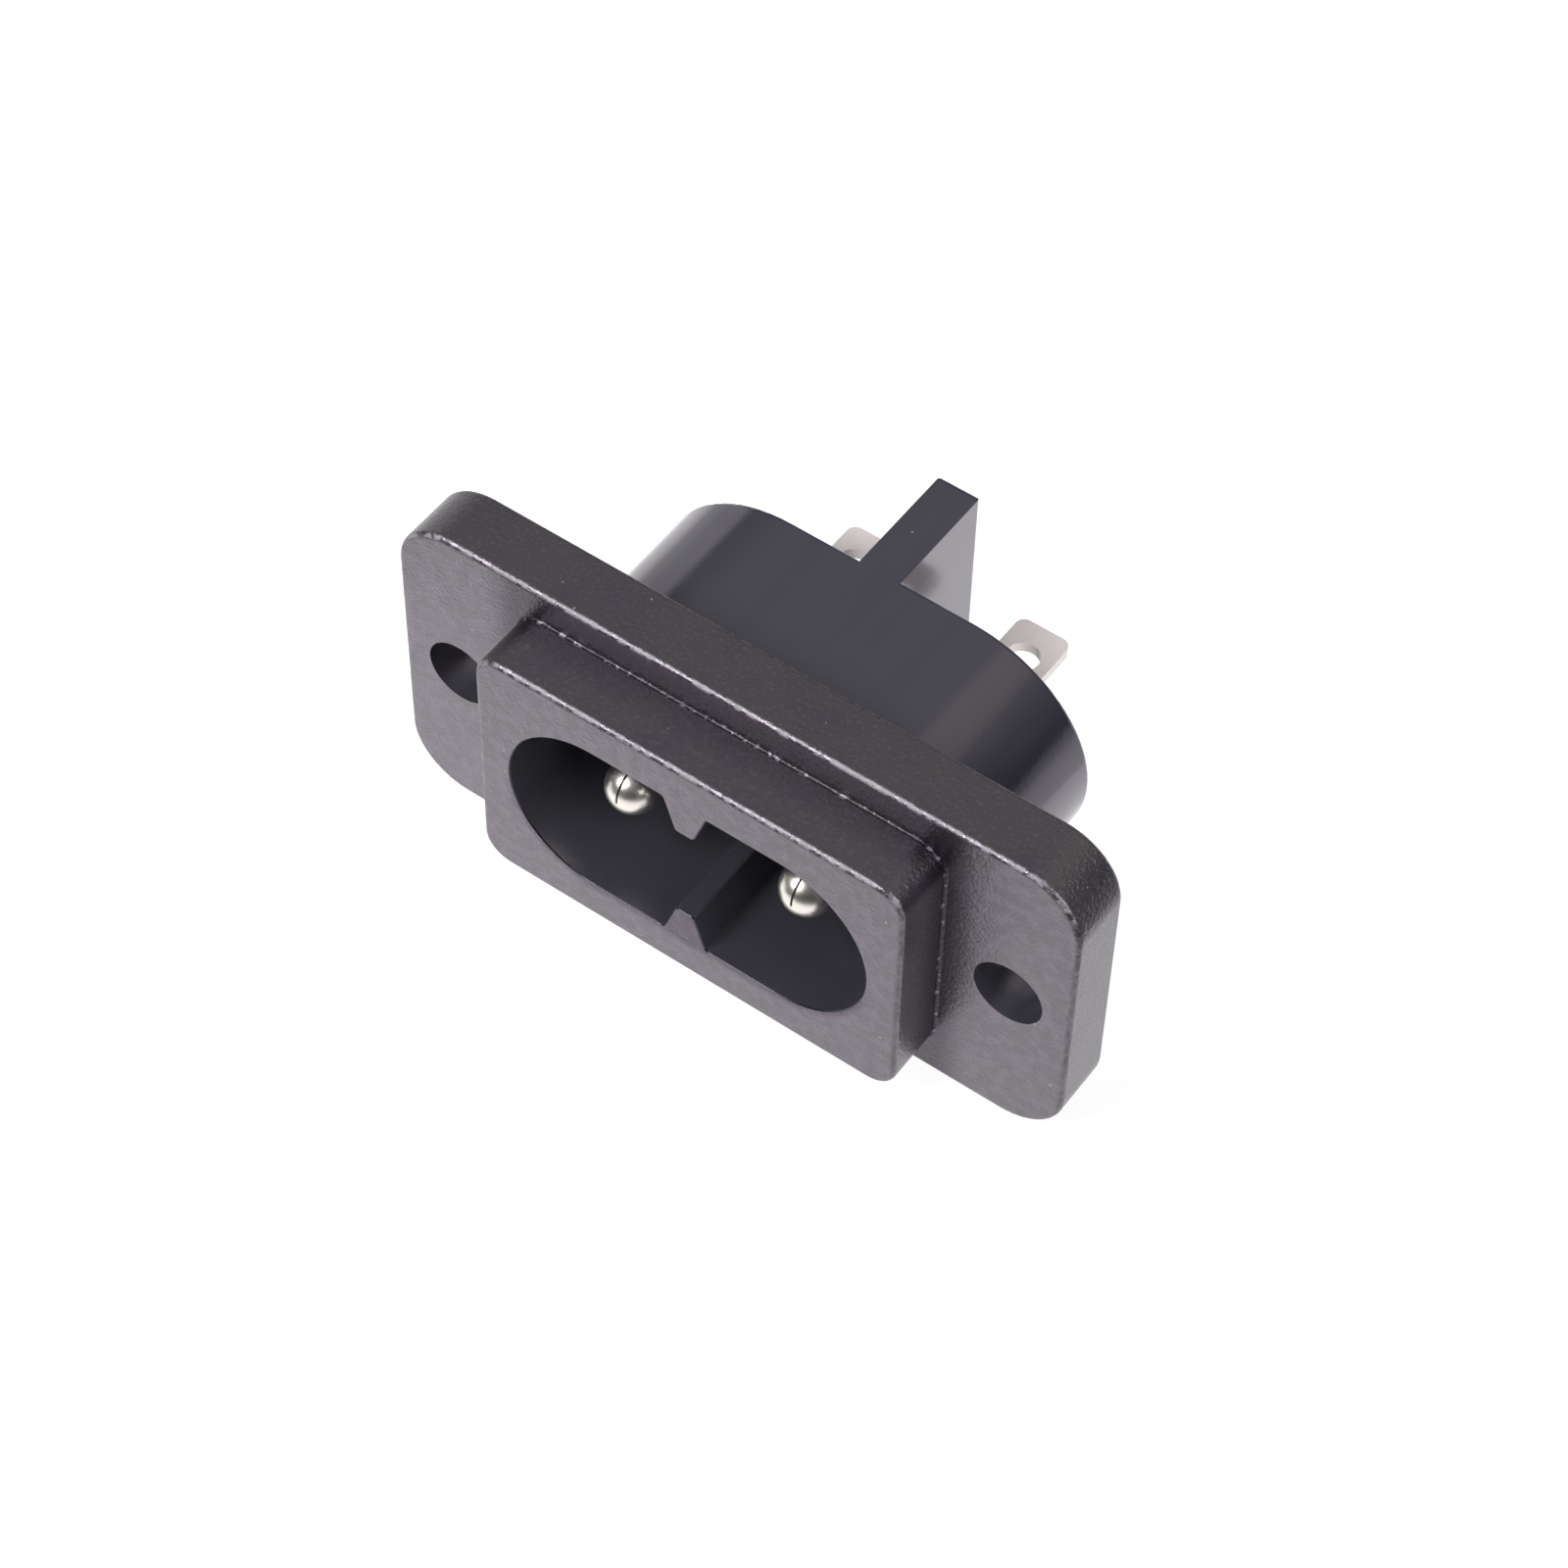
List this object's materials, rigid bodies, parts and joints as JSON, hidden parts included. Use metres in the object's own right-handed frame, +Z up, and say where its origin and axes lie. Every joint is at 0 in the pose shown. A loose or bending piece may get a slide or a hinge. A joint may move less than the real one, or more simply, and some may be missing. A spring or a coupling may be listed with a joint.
{
  "type": "appliance inlet",
  "caption": "Panel-mount figure-eight appliance inlet with screw ears, round pins in a ribbed recess, and solder tabs parted by an insulating wall.",
  "frame": {"origin": "centre of the flange's back face, on the line midway between the pins", "axes": "-Y points out of the recess towards the mating plug, +Y back into the appliance, X runs along the line of the two screw holes and the two pins, Z is up"},
  "size_m": [0.0328, 0.0195, 0.016],
  "materials": {
    "moulding": "black thermoplastic moulding, fine matt grain on the flange and shroud, smoother on the body",
    "contacts": "brass strip with a bright nickel plating"
  },
  "bodies": {
    "root": {"housing": "moulding", "left_contact": "contacts", "right_contact": "contacts"}
  },
  "joints": []
}
